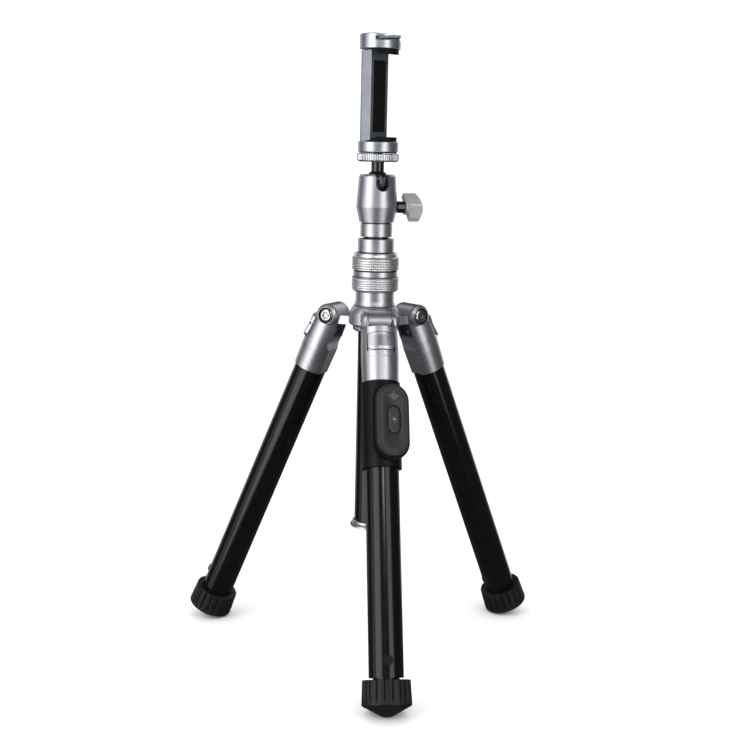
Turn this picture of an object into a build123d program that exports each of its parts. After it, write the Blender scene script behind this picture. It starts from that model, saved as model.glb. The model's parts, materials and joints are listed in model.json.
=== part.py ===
from build123d import *
from math import cos, radians, sin, sqrt
import os

# Compact tripod stick: three legs on a hub, a telescoping column, a ball head, a phone clamp and a
# remote docked on the front leg. Millimetres, +Z up, origin on the column axis at floor level.
# Heights along the column are measured from the leg-pivot plane, distances along a leg from its pivot.

# ---- Driving dimensions
SPREAD = 23.54                      # degrees between a leg and the column
PIVOT_RADIUS = 33.0
LEG_AZIMUTHS = {"front": -90.0, "right": 30.0, "left": 150.0}
FOOT_TIP = 267.0                    # along the leg
FOOT_TIP_R = 2.4
PIVOT_Z = FOOT_TIP * cos(radians(SPREAD)) + FOOT_TIP_R * sin(radians(SPREAD))

RUN = 0.05                          # radial running clearance of sliding and turning fits
GAP = 0.3                           # clearance between faces of different moving bodies

# ---- Hub
HUB_R = 18.6
HUB_LOW = -4.4                      # the widest band's lower and upper edges
HUB_HIGH = 2.2
HUB_SKIRT_R = 15.4
HUB_BOTTOM = -9.9
HUB_NECK_R = 13.75
HUB_NECK_LOW = 13.0                 # where the neck starts to flare
HUB_NECK_TOP = 18.6
HUB_SEAM = (14.9, 8.6)              # radius and height of the groove round the flare
HUB_SLEEVE_R = 13.4
HUB_SLEEVE_TOP = 27.2
COLLET_SEAT_R = 12.7
COLLET_SEAT_LOW = 9.0
TONGUE_HALF = 7.9
TONGUE_LOW = -5.8
TONGUE_HIGH = 0.2
TONGUE_END_R = 8.3
RING_R = 16.8
RING_LIP = 1.6
HUB_RING = (18.9, 20.5, 28.9, 29.5)        # low, lower and upper edge of the grip, top
COLUMN_RING = (33.6, 34.2, 43.1, 46.5)
RING_BORE_R = HUB_SLEEVE_R + GAP

# ---- Column, outermost first
COLUMN_R = 11.45
COLUMN_WALL = 0.9
SECTION_WALL = 0.8
SECTION_A_R = 10.15
SECTION_B_R = 9.0
SECTION_C_R = 7.85
COLUMN_BOTTOM = -150.2
END_RING_R = 14.45
END_RING_NECK_R = 12.7
END_RING_BOTTOM = -155.1
END_PLUG_TOP = COLUMN_BOTTOM + 3.2
SECTION_STEP = 1.0                  # each section ends this much above the one around it
SECTION_A_BOTTOM = END_PLUG_TOP + 1.2
COLLAR_LOW = 29.8
COLLAR_FLOOR = COLLAR_LOW + 2.0     # the seat of the column tube's end
COLLAR_BAND_TOP = 33.3
COLLAR_BAND_R = 15.75
COLLAR_TOP = 44.6
COLLAR_BORE_R = 11.7
COLLAR_BORE_LOW = 36.2
SECTION_A_COLLAR = (46.9, 56.5, 12.85)    # low, top, radius
SECTION_B_COLLAR = (57.9, 67.5, 11.3)
SECTION_SEAT = 3.0                  # a section's tube ends this much below its collar's top
GUIDE_LENGTH = 6.0
SLIT = 1.2                          # a collet's slit

# ---- Ball head
WASHER_LOW = 67.7
WASHER_R = 9.8
HEAD_LOW = 68.2
HEAD_LOW_R = 12.3
HEAD_WIDE = 78.9
HEAD_WIDE_R = 14.65
HEAD_TOP = 101.9
HEAD_TOP_R = 13.05
HEAD_EDGE = 1.4
BALL_Z = 97.2
BALL_R = 8.25
LIP_RISE = 2.6                      # the socket's narrowest edge above the ball's centre
MOUTH_R = 9.3
NOTCH_R = 4.9
NOTCH_BOTTOM = 90.1
NOTCH_AZIMUTH = -78.0
KNOB_AZIMUTH = 12.0
STEM_R = 4.5
STEM_TOP = 110.6
STUD_R = 3.175
STUD_TOP = 75.7
STUD_PLUG_LOW = 52.0
SEAT_R = 6.6
SEAT_LOW = 82.2
KNOB_SCREW_R = 3.0
KNOB_SCREW_START = 4.0
KNOB_SHANK_R = 4.15
KNOB_SHANK_START = 15.0
KNOB_SHANK_END = 21.6
WING_BOSS_R = 5.3
WING_BOSS = (20.6, 22.3, 24.6)      # along the knob's axis: its start, its cone's start and end
WING_TURN = -37.0                   # degrees about the knob's axis, its top leaning back
WING_INNER_LOW = 22.4               # the inner edge slopes from one end to the other
WING_INNER_HIGH = 21.2
WING_REACH = 33.7
WING_END_REACH = 30.2
WING_HALF = 10.65
WING_RIDGE = 3.2                    # half thickness at the middle and at the ends
WING_RIM = 2.5

# ---- Phone clamp
DISC_R = 14.3
CLAMP_AZIMUTH = -48.0               # direction that the clamp's face looks
LOCK_RING_R = 14.8
LOCK_RING_TOP = 116.5
JAW_LOW = 117.6
LOWER_JAW_TOP = 124.7
UPPER_JAW_LOW = 188.4
UPPER_JAW_TOP = 198.7
PLATE_HALF = 8.8
PLATE_BACK = -11.0
SHELL_WALL = 1.6
SHELL_TOP = UPPER_JAW_LOW - 0.8
PAD_R = 13.0
LIP_HEIGHT = 3.4
FACE_PAD = (131.5, 180.8)
SCREW_X = -6.2
SCREW_Y = 4.4
SCREW_R = 1.0
SCREW_HEAD_R = 1.9
ROD_X = -5.5
ROD_Y = 4.4
ROD_R = 1.6
SHELF_LOW = 183.0
ROD_BOTTOM = 146.0
SHOE_FLOOR = 193.9
SHOE_LIP_LOW = 196.7
SHOE_LIP_TOP = 198.3
SHOE_HALF = 9.35                    # half the 18.6 mm foot of a standard accessory shoe, with clearance
SHOE_GAP_HALF = 6.3
SHOE_BACK = -7.5
SHOE_SPRING_END = 11.0
RAIL_FRONT = 6.7

# ---- Leg
EAR_R = 8.4
EAR_HALF = 12.6
EAR_SHOULDER = 9.6                  # where the ear's rounded rim starts
SLOT_HALF = TONGUE_HALF + GAP
CASTING_TOP_R = 12.5
CASTING_R = 13.1
CASTING_END_R = 12.7
CASTING_END = 44.0
SEAM = 27.3                         # along the leg
FACET_X = -10.9
FACET_START = 14.0
SLOT_FLOOR = 9.0
CAVITY_FLOOR = 13.2
CAVITY_WALL = 9.0                   # the cavity's outer wall starts here
FLANK_END = 11.0                    # the ears' flanks reach the barrel's full width here
SCOOP_R = 9.0
SCOOP_X = -8.9 - SCOOP_R
SCOOP_S = 18.4
BOLT_R = 3.0
BOLT_HEAD_R = 5.4
BOLT_SEAT_R = BOLT_HEAD_R + 0.6
BOLT_HEAD_IN = 9.5
BOLT_HEAD_OUT = 12.9
HEX_R = 2.6
HEX_DEPTH = 1.6
SPIGOT_END = 58.0
SPIGOT_WALL = 1.6

# ---- Angle lock, a pull tab on the leg's outer side
LOCK_POCKET_R = 12.2
LOCK_INNER_R = 12.45
LOCK_LIP = (6.0, 11.0, 13.7)        # start and end along the leg, outer radius
LOCK_LIP_HALF = 9.4
LOCK_ARCH_R = 48.5                  # the lip's lower edge
LOCK_ARCH_TOP = 9.9
LOCK_WEB_R = 12.95
LOCK_PLATE_START = 12.4
LOCK_PLATE_END = 22.6
LOCK_PLATE_HALF = 9.1
LOCK_PLATE_R = 14.8
LOCK_CORNER_R = 3.2
LOCK_STEM_HALF = 3.7
LOCK_STEM = (9.4, 12.6)             # along the leg
LOCK_PIN_R = 1.8
LOCK_PIN_S = 10.8
LOCK_PIN_X = -7.0

# ---- Leg tubes and foot
TUBE_R = 11.57
TUBE_WALL = 1.27
TUBE_END = 242.1
LAND_START = 222.0
EXTENSION_R = 8.8
EXTENSION_WALL = 1.1
EXTENSION_START = 72.0
EXTENSION_END = 252.0
EXTENSION_TRAVEL = 110.0
BUTTON_S = 231.2
BUTTON_R = 3.45
BUTTON_PROUD = 1.1
BUTTON_TURN = {"front": 0.0, "right": 180.0, "left": 0.0}   # about the leg, from its outer side
FOOT_START = 243.3
FOOT_R = 16.0
FOOT_WIDE = 258.7
FOOT_WIDE_R = 16.7

# ---- Remote and its holder on the front leg
SLEEVE_R = 13.65
SLEEVE_END = 103.8
REMOTE_TURN = 20.3                  # degrees from the leg's outer side towards +X
REMOTE_MIDDLE = 73.1
REMOTE_LENGTH = 49.4
REMOTE_WIDTH = 24.2
REMOTE_CORNER = 11.0
REMOTE_BACK = 12.7
REMOTE_FRONT = 20.0
REMOTE_SPLIT = 15.9
REMOTE_WALL = 1.2
CRADLE_TOP = 15.4
CRADLE_EDGE = 13.2                  # the cradle's wall is straight above this and tapers below
CRADLE_TAPER = 7.0
CRADLE_RIM = 1.5
BUTTON_PLATE = (9.0, 19.0)


# ---- Small geometry helpers
FAR = 40.0                          # reaches past any piece that a cut goes through


def path(*points):
    """Straight runs through (x, z) points."""
    return Polyline(*[(x, 0, z) for x, z in points])


def bend(*points):
    """An arc through three (x, z) points."""
    return ThreePointArc(*[(x, 0, z) for x, z in points])


def lathe(*points):
    """A solid turned about Z from (radius, height) points."""
    return revolve(make_face(path(*points, points[0])), Axis.Z)


def post(radius, low, high, x=0.0, y=0.0):
    """A round bar along Z between two heights."""
    return Pos(x, y, low) * Cylinder(radius, high - low, align=(Align.CENTER, Align.CENTER, Align.MIN))


def pipe(outer, inner, low, high):
    return lathe((inner, low), (outer, low), (outer, high), (inner, high))


def block(x, y, z):
    """A box from three (low, high) pairs."""
    size = [high - low for low, high in (x, y, z)]
    middle = [(high + low) / 2 for low, high in (x, y, z)]
    return Pos(*middle) * Box(*size)


def bar_along(azimuth, radius, start, end, height):
    """A round bar along a horizontal ray from the column axis."""
    bar = Cylinder(radius, end - start, align=(Align.CENTER, Align.CENTER, Align.MIN))
    return Rot(0, 0, azimuth) * Pos(start, 0, height) * Rot(0, 90, 0) * bar


def slab(points, half):
    """A plate outlined by (x, z) points, extruded along Y to both sides."""
    return extrude(make_face(path(*points, points[0])), half, dir=(0, 1, 0), both=True)


def on_column(shape):
    return Pos(0, 0, PIVOT_Z) * shape


def on_leg(shape, leg):
    """From leg coordinates (x outwards, y along the pivot, -z down the leg) to the part's frame."""
    return Rot(0, 0, LEG_AZIMUTHS[leg]) * Pos(PIVOT_RADIUS, 0, PIVOT_Z) * Rot(0, -SPREAD, 0) * shape


def on_clamp(shape):
    """From clamp coordinates (x out of the clamp's face) to the part's frame."""
    return on_column(Rot(0, 0, CLAMP_AZIMUTH) * shape)


def pill(width, length, corner, low, high):
    """A rounded plate, its length along Z, its thickness along X."""
    face = Plane.YZ * RectangleRounded(width, length, corner)
    return Pos(low, 0, 0) * extrude(face, high - low, dir=(1, 0, 0))


def on_remote(shape):
    """From remote coordinates (x out of its face, z along it) to leg coordinates."""
    return Rot(0, 0, REMOTE_TURN) * Pos(0, 0, -REMOTE_MIDDLE) * shape


# ---- Hub
def hub_body():
    bore = COLUMN_R + RUN
    seam_r, seam_z = HUB_SEAM
    below = (seam_r + 0.3, seam_z - 0.4)
    above = (seam_r, seam_z + 0.3)
    skirt = path(
        (bore, HUB_BOTTOM), (HUB_SKIRT_R - 1.6, HUB_BOTTOM), (HUB_SKIRT_R, HUB_BOTTOM + 1.3),
        (HUB_SKIRT_R, HUB_LOW - 1.9), (HUB_R, HUB_LOW), (HUB_R, HUB_HIGH),
    )
    shoulder = bend((HUB_R, HUB_HIGH), (HUB_R - 1.3, HUB_HIGH + 3.0), below)
    groove = path(below, (seam_r - 0.4, seam_z), above)
    flare = bend(above, (HUB_NECK_R + 0.3, seam_z + 2.4), (HUB_NECK_R, HUB_NECK_LOW))
    inside = path(
        (HUB_NECK_R, HUB_NECK_LOW), (HUB_NECK_R, HUB_NECK_TOP), (HUB_SLEEVE_R, HUB_NECK_TOP),
        (HUB_SLEEVE_R, HUB_SLEEVE_TOP), (COLLET_SEAT_R, HUB_SLEEVE_TOP), (COLLET_SEAT_R, COLLET_SEAT_LOW),
        (bore, COLLET_SEAT_LOW), (bore, HUB_BOTTOM),
    )
    body = revolve(make_face(skirt + shoulder + groove + flare + inside), Axis.Z)
    for azimuth in LEG_AZIMUTHS.values():
        bar = block((HUB_R - 4.0, PIVOT_RADIUS), (-TONGUE_HALF, TONGUE_HALF), (TONGUE_LOW, TONGUE_HIGH))
        end = Pos(PIVOT_RADIUS, 0, 0) * Rot(90, 0, 0) * Cylinder(TONGUE_END_R, 2 * TONGUE_HALF)
        hole = Pos(PIVOT_RADIUS, 0, 0) * Rot(90, 0, 0) * Cylinder(BOLT_R + RUN, 2 * TONGUE_HALF + 2)
        body += Rot(0, 0, azimuth) * (bar + end - hole)
    return on_column(body)


def split_ring(outer, inner, low, high):
    """A collet: a sleeve with one slit."""
    slit = block((0, outer + 1), (-SLIT / 2, SLIT / 2), (low - 1, high + 1))
    return pipe(outer, inner, low, high) - slit


def hub_collet():
    low = COLLET_SEAT_LOW + 0.2
    return on_column(split_ring(COLLET_SEAT_R - 0.1, COLUMN_R + RUN, low, HUB_SLEEVE_TOP - 0.2))


def knurled_ring(size, lip_bore):
    """A lock ring: chamfers above and below the grip, a bore for its sleeve and a lip over it."""
    low, grip_low, grip_high, high = size
    under_lip = high - RING_LIP
    return on_column(lathe(
        (RING_BORE_R, low), (RING_R - 1.6, low), (RING_R, grip_low), (RING_R, grip_high),
        (RING_R - 2.0, high), (lip_bore, high), (lip_bore, under_lip), (RING_BORE_R, under_lip),
    ))


def hub_lock_ring():
    return knurled_ring(HUB_RING, COLUMN_R + GAP)


# ---- Column
def telescoping_tube(outer, wall, low, high, guide_outer):
    """A thin tube whose bottom end is swaged out to guide it in the tube around it."""
    inner = outer - wall
    shoulder = low + GUIDE_LENGTH
    return lathe(
        (inner, low), (guide_outer, low), (guide_outer, shoulder), (outer, shoulder + 1.0),
        (outer, high), (inner, high),
    )


def column_tube():
    return on_column(pipe(COLUMN_R, COLUMN_R - COLUMN_WALL, COLUMN_BOTTOM, COLLAR_FLOOR))


def column_collar():
    bore = SECTION_A_R + RUN
    return on_column(lathe(
        (COLUMN_R, COLLAR_LOW), (COLLAR_BAND_R, COLLAR_LOW), (COLLAR_BAND_R, COLLAR_BAND_TOP),
        (HUB_SLEEVE_R, COLLAR_BAND_TOP), (HUB_SLEEVE_R, COLLAR_TOP), (COLLAR_BORE_R, COLLAR_TOP),
        (COLLAR_BORE_R, COLLAR_BORE_LOW), (bore, COLLAR_BORE_LOW), (bore, COLLAR_FLOOR),
        (COLUMN_R, COLLAR_FLOOR),
    ))


def column_collet():
    low = COLLAR_BORE_LOW + 0.2
    return on_column(split_ring(COLLAR_BORE_R - 0.1, SECTION_A_R + RUN, low, COLLAR_TOP - 0.2))


def column_lock_ring():
    return knurled_ring(COLUMN_RING, SECTION_A_R + GAP)


def column_end_ring():
    """The metal cap that stops the column in the hub: a shoulder, a neck and a wider foot."""
    inner = COLUMN_R - COLUMN_WALL
    foot = END_RING_BOTTOM
    neck = END_RING_NECK_R
    return on_column(lathe(
        (0, foot), (END_RING_R - 0.9, foot), (END_RING_R, foot + 0.5), (END_RING_R - 0.1, foot + 1.7),
        (neck + 0.5, foot + 1.9), (neck, foot + 2.4), (neck + 0.6, foot + 3.2), (neck + 0.2, foot + 4.4),
        (neck - 0.4, COLUMN_BOTTOM), (inner, COLUMN_BOTTOM), (inner, END_PLUG_TOP), (0, END_PLUG_TOP),
    ))


def section_collar(size, tube_r, next_r):
    """An end collar fixed on one section's top, bored for the next section."""
    low, top, radius = size
    return on_column(lathe(
        (tube_r, low), (radius - 0.4, low), (radius, low + 0.4), (radius, top - 0.4), (radius - 0.4, top),
        (next_r + RUN, top), (next_r + RUN, top - SECTION_SEAT), (tube_r, top - SECTION_SEAT),
    ))


def section_a_tube():
    guide = COLUMN_R - COLUMN_WALL - RUN
    top = SECTION_A_COLLAR[1] - SECTION_SEAT
    return on_column(telescoping_tube(SECTION_A_R, SECTION_WALL, SECTION_A_BOTTOM, top, guide))


def section_b_tube():
    guide = SECTION_A_R - SECTION_WALL - RUN
    low = SECTION_A_BOTTOM + SECTION_STEP
    top = SECTION_B_COLLAR[1] - SECTION_SEAT
    return on_column(telescoping_tube(SECTION_B_R, SECTION_WALL, low, top, guide))


def section_c_tube():
    guide = SECTION_B_R - SECTION_WALL - RUN
    low = SECTION_A_BOTTOM + 2 * SECTION_STEP
    return on_column(telescoping_tube(SECTION_C_R, SECTION_WALL, low, WASHER_LOW, guide))


# ---- Ball head
def head_stud():
    """The plug in the last section's top, with a washer and a quarter-inch stud for the head."""
    plug_r = SECTION_C_R - SECTION_WALL
    washer_top = WASHER_LOW + 0.4
    return on_column(lathe(
        (0, STUD_PLUG_LOW), (plug_r, STUD_PLUG_LOW), (plug_r, WASHER_LOW), (WASHER_R, WASHER_LOW),
        (WASHER_R, washer_top), (STUD_R, washer_top), (STUD_R, STUD_TOP - 0.5), (STUD_R - 0.5, STUD_TOP),
        (0, STUD_TOP),
    ))


def head_housing():
    top = HEAD_TOP
    body = lathe(
        (0, HEAD_LOW), (HEAD_LOW_R, HEAD_LOW), (HEAD_WIDE_R, HEAD_WIDE), (HEAD_TOP_R, top - HEAD_EDGE),
        (HEAD_TOP_R - HEAD_EDGE, top), (0, top),
    )
    socket_r = BALL_R + RUN
    lip_z = BALL_Z + LIP_RISE
    lip_r = sqrt(socket_r ** 2 - LIP_RISE ** 2)
    body -= Pos(0, 0, BALL_Z) * Sphere(socket_r)
    body -= lathe((0, lip_z), (lip_r, lip_z), (MOUTH_R, top), (MOUTH_R, top + 1), (0, top + 1))
    body -= post(SEAT_R + 0.1, SEAT_LOW - 0.2, BALL_Z - 4.0)
    body -= post(STUD_R + RUN, HEAD_LOW - 1, STUD_TOP + 0.5)
    notch_axis = NOTCH_BOTTOM + NOTCH_R
    body -= bar_along(NOTCH_AZIMUTH, NOTCH_R, 0, 20, notch_axis)
    slot = block((0, 20), (-NOTCH_R, NOTCH_R), (notch_axis, top + 1))
    body -= Rot(0, 0, NOTCH_AZIMUTH) * slot
    body -= bar_along(KNOB_AZIMUTH, KNOB_SCREW_R + RUN, KNOB_SCREW_START - 0.6, 20, HEAD_WIDE)
    return on_column(body)


def ball_seat():
    """The cup that the knob's screw presses against the ball."""
    seat = post(SEAT_R, SEAT_LOW, BALL_Z - 4.6) - Pos(0, 0, BALL_Z) * Sphere(BALL_R + RUN)
    return on_column(seat - post(2.0, SEAT_LOW - 1, BALL_Z))


def ball_stem():
    """Ball, stem and the quarter-inch stud that carries the clamp."""
    stem = post(STEM_R, BALL_Z, STEM_TOP) + post(STUD_R, STEM_TOP, 122.0)
    return on_column(Pos(0, 0, BALL_Z) * Sphere(BALL_R) + stem)


def knob_screw():
    screw = bar_along(KNOB_AZIMUTH, KNOB_SCREW_R, KNOB_SCREW_START, KNOB_SHANK_START, HEAD_WIDE)
    shank = bar_along(KNOB_AZIMUTH, KNOB_SHANK_R, KNOB_SHANK_START, KNOB_SHANK_END, HEAD_WIDE)
    return on_column(screw + shank)


def knob_wing():
    """A wing grip: a straight inner edge, an arched outer edge, and a ridge along the knob's axis."""
    low = (WING_END_REACH, -WING_HALF)
    high = (WING_END_REACH, WING_HALF)
    edge = path(high, (WING_INNER_HIGH, WING_HALF), (WING_INNER_LOW, -WING_HALF), low)
    plate = extrude(make_face(bend(low, (WING_REACH, 0), high) + edge), WING_RIDGE, dir=(0, 1, 0), both=True)
    section = Polyline(
        (0, WING_RIDGE, 0), (0, WING_RIM, WING_HALF), (0, -WING_RIM, WING_HALF), (0, -WING_RIDGE, 0),
        (0, -WING_RIM, -WING_HALF), (0, WING_RIM, -WING_HALF), close=True,
    )
    plate &= extrude(make_face(section), FAR, dir=(1, 0, 0))
    start, cone, tip = WING_BOSS
    boss = lathe((0, start), (WING_BOSS_R, start), (WING_BOSS_R, cone), (WING_RIDGE, tip), (0, tip))
    wing = plate + Rot(0, 90, 0) * boss - bar_along(0, KNOB_SHANK_R, 0, KNOB_SHANK_END, 0)
    return on_column(Rot(0, 0, KNOB_AZIMUTH) * Pos(0, 0, HEAD_WIDE) * Rot(WING_TURN, 0, 0) * wing)


# ---- Phone clamp
def clamp_lock_ring():
    low = STEM_TOP
    top = LOCK_RING_TOP
    return on_column(lathe(
        (STUD_R + RUN, low), (LOCK_RING_R - 1.5, low), (LOCK_RING_R, low + 1.2), (LOCK_RING_R, top - 0.6),
        (LOCK_RING_R - 0.7, top), (STUD_R + RUN, top),
    ))


def jaw_washer():
    return on_column(pipe(DISC_R - 1.0, STUD_R + GAP, LOCK_RING_TOP + 0.2, JAW_LOW))


def lower_jaw():
    disc = lathe(
        (0, JAW_LOW), (DISC_R - 0.5, JAW_LOW), (DISC_R, JAW_LOW + 0.5), (DISC_R, LOWER_JAW_TOP - 0.4),
        (DISC_R - 0.4, LOWER_JAW_TOP), (0, LOWER_JAW_TOP),
    )
    disc -= post(STUD_R + RUN, JAW_LOW - 1, 122.4)
    for y in (-SCREW_Y, SCREW_Y):
        disc -= post(SCREW_HEAD_R, JAW_LOW - 1, JAW_LOW + 2.0, SCREW_X, y)
        disc -= post(SCREW_R, JAW_LOW, LOWER_JAW_TOP + 1, SCREW_X, y)
    return on_clamp(disc)


def jaw_pad_outline(low, high):
    """The half disc in front of the clamp's face."""
    return post(PAD_R, low, high) & block((0.3, PAD_R + 1), (-PAD_R, PAD_R), (low, high))


def pad_wedge(base, rise):
    """A lip along the pad's outer edge that keeps the phone in: a ramp, then a flat."""
    points = [(2.0, base), (PAD_R + 1, base), (PAD_R + 1, base + rise), (8.0, base + rise)]
    return slab(points, PAD_R)


def lower_jaw_pad():
    top = LOWER_JAW_TOP + 0.8
    pad = jaw_pad_outline(LOWER_JAW_TOP, top)
    lip = pad_wedge(top, LIP_HEIGHT - 0.9) & post(PAD_R, top, top + LIP_HEIGHT)
    return on_clamp(pad + lip)


def clamp_back_shell():
    """A U-shaped cover with a floor and a shelf that guides the rods; the face plate closes its front."""
    shell = block((PLATE_BACK, 0), (-PLATE_HALF, PLATE_HALF), (LOWER_JAW_TOP, SHELL_TOP))
    shell = fillet(shell.edges().filter_by(Axis.Z).group_by(Axis.X)[0], 2.4)
    inner = PLATE_HALF - SHELL_WALL
    hollow_low = LOWER_JAW_TOP + 3.0
    shell -= block((PLATE_BACK + SHELL_WALL, 1), (-inner, inner), (hollow_low, SHELF_LOW))
    shell -= block((-1.8, 1), (0.85 - PLATE_HALF, PLATE_HALF - 0.85), (LOWER_JAW_TOP - 1, SHELL_TOP + 1))
    for y in (-ROD_Y, ROD_Y):
        shell -= post(ROD_R + RUN, SHELF_LOW - 1, SHELL_TOP + 1, ROD_X, y)
    for y in (-SCREW_Y, SCREW_Y):
        shell -= post(SCREW_R, LOWER_JAW_TOP - 1, hollow_low + 1, SCREW_X, y)
    return on_clamp(shell)


def clamp_face_plate():
    half = PLATE_HALF - 0.95
    plate = block((-1.7, 0), (-half, half), (LOWER_JAW_TOP, SHELL_TOP))
    low, high = FACE_PAD
    return on_clamp(plate - block((-0.8, 1), (-6.1, 6.1), (low, high)))


def clamp_face_pad():
    low, high = FACE_PAD
    return on_clamp(block((-0.8, 0.3), (-6.0, 6.0), (low + 0.1, high - 0.1)))


def clamp_screws():
    """Two screws from the lower jaw's underside into the shell's floor."""
    screws = []
    for y in (-SCREW_Y, SCREW_Y):
        head = post(SCREW_HEAD_R, JAW_LOW + 0.4, JAW_LOW + 2.0, SCREW_X, y)
        screws.append(on_clamp(head + post(SCREW_R, JAW_LOW + 2.0, LOWER_JAW_TOP + 2.8, SCREW_X, y)))
    return screws


def upper_jaw():
    disc = lathe(
        (0, UPPER_JAW_LOW), (DISC_R - 0.4, UPPER_JAW_LOW), (DISC_R, UPPER_JAW_LOW + 0.4),
        (DISC_R, UPPER_JAW_TOP - 0.5), (DISC_R - 0.5, UPPER_JAW_TOP), (0, UPPER_JAW_TOP),
    )
    reach = DISC_R + 1
    disc -= block((SHOE_BACK, reach), (-SHOE_HALF, SHOE_HALF), (SHOE_FLOOR, SHOE_LIP_LOW))
    disc -= block((SHOE_BACK, reach), (-SHOE_GAP_HALF, SHOE_GAP_HALF), (SHOE_FLOOR, UPPER_JAW_TOP + 1))
    disc -= block((RAIL_FRONT, reach), (-reach, reach), (SHOE_FLOOR, SHOE_LIP_LOW))
    disc -= block((RAIL_FRONT, reach), (-reach, reach), (SHOE_LIP_TOP, UPPER_JAW_TOP + 1))
    for y in (-ROD_Y, ROD_Y):
        disc -= post(ROD_R, UPPER_JAW_LOW - 1, UPPER_JAW_LOW + 3.0, ROD_X, y)
    return on_clamp(disc)


def upper_jaw_pad():
    low = UPPER_JAW_LOW - 0.6
    pad = jaw_pad_outline(low, UPPER_JAW_LOW)
    lip = mirror(pad_wedge(-low, LIP_HEIGHT - 0.5), Plane.XY) & post(PAD_R, low - LIP_HEIGHT, low)
    return on_clamp(pad + lip)


def shoe_spring():
    """A thin leaf on the shoe's floor that grips an accessory's foot."""
    half = SHOE_HALF - 0.5
    leaf = block((SHOE_BACK + 0.2, SHOE_SPRING_END), (-half, half), (SHOE_FLOOR, SHOE_FLOOR + 0.4))
    return on_clamp(leaf & post(DISC_R - 0.3, SHOE_FLOOR, SHOE_FLOOR + 1))


def guide_rods():
    rods = []
    for y in (-ROD_Y, ROD_Y):
        rod = post(ROD_R, ROD_BOTTOM, UPPER_JAW_LOW + 3.0, ROD_X, y)
        rods.append(on_clamp(rod + post(2.6, ROD_BOTTOM - 1.5, ROD_BOTTOM, ROD_X, y)))
    return rods


def clamp_springs():
    """The springs' envelopes: pressed between the rods' heads and the shelf when the jaw is pulled up."""
    springs = []
    for y in (-ROD_Y, ROD_Y):
        ring = post(2.6, ROD_BOTTOM + 0.2, SHELF_LOW - 0.2, ROD_X, y)
        springs.append(on_clamp(ring - post(ROD_R + 0.3, ROD_BOTTOM, SHELF_LOW, ROD_X, y)))
    return springs


# ---- Legs
def across(*points):
    """A solid turned about the pivot's axis from (radius, half) points, the same on both sides."""
    outline = [(radius, half, 0) for radius, half in points]
    outline += [(radius, -half, 0) for radius, half in reversed(points)]
    return revolve(make_face(Polyline(*outline, close=True)), Axis.Y)


def bolt_seats():
    """The two round seats for the bolt's heads, open to the outside."""
    seats = across((0, FAR), (BOLT_SEAT_R, FAR))
    return seats - across((0, BOLT_HEAD_IN), (FAR, BOLT_HEAD_IN))


def lock_pocket():
    """The shallow pocket under the angle lock, and the window for its stem."""
    lip_start, _, _ = LOCK_LIP
    _, stem_end = LOCK_STEM
    half = LOCK_LIP_HALF + 0.2
    pocket = pipe(CASTING_R + 1, LOCK_POCKET_R, -LOCK_PLATE_END - 0.4, -lip_start + 0.4)
    pocket &= block((0, FAR), (-half, half), (-FAR, 0))
    window = LOCK_STEM_HALF + 0.4
    return pocket + block((CAVITY_WALL - 1, 15), (-window, window), (-stem_end - 0.5, -SLOT_FLOOR + 1))


def leg_casting(leg):
    """Two ears round the hub's tongue, running into a round socket for the tube."""
    rim_r = BOLT_SEAT_R + 0.2
    ears = across((0, EAR_HALF), (rim_r, EAR_HALF), (EAR_R - 0.5, EAR_HALF - 1.4), (EAR_R, EAR_SHOULDER))
    wide = CASTING_R + 1
    flanks = slab([(-EAR_R, 0), (EAR_R, 0), (wide, -FLANK_END), (wide, -CASTING_END), (-wide, -CASTING_END),
                   (-wide, -FLANK_END)], wide)
    barrel = lathe((0, -CASTING_END), (CASTING_END_R, -CASTING_END), (CASTING_R, -SEAM), (CASTING_R, -18),
                   (CASTING_TOP_R, -4), (CASTING_TOP_R, 0), (0, 0))
    body = ears + (flanks & barrel)
    body -= block((-wide, wide), (-SLOT_HALF, SLOT_HALF), (-SLOT_FLOOR, FAR))
    body -= block((-wide, CAVITY_WALL), (-SLOT_HALF, SLOT_HALF), (-CAVITY_FLOOR, -SLOT_FLOOR + 1))
    body -= Pos(SCOOP_X, 0, -SCOOP_S) * Rot(90, 0, 0) * Cylinder(SCOOP_R, FAR)
    body -= block((-wide, FACET_X), (-wide, wide), (-CASTING_END - 1, -FACET_START))
    body -= lathe((CASTING_R - 0.25, -SEAM), (wide, -SEAM + 0.4), (wide, -SEAM - 0.4))
    body -= lock_pocket()
    body -= Rot(90, 0, 0) * Cylinder(BOLT_R, FAR)
    body -= bolt_seats()
    body += pipe(TUBE_R - TUBE_WALL, TUBE_R - TUBE_WALL - SPIGOT_WALL, -SPIGOT_END, -CASTING_END)
    return on_leg(body, leg)


def pivot_bolt(leg):
    """The pivot bolt and its capped nut: a shank through the tongue, a round socket head in each ear."""
    bolt = Rot(90, 0, 0) * Cylinder(BOLT_R, 2 * BOLT_HEAD_IN)
    rim = BOLT_HEAD_OUT - 1.2
    bolt += across((0, BOLT_HEAD_OUT), (BOLT_HEAD_R - 1.4, BOLT_HEAD_OUT), (BOLT_HEAD_R, rim)) & bolt_seats()
    recess = extrude(Plane.XZ * RegularPolygon(HEX_R, 6), HEX_DEPTH, both=True)
    for side in (-1, 1):
        bolt -= Pos(0, side * BOLT_HEAD_OUT, 0) * recess
    return on_leg(bolt, leg)


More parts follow.
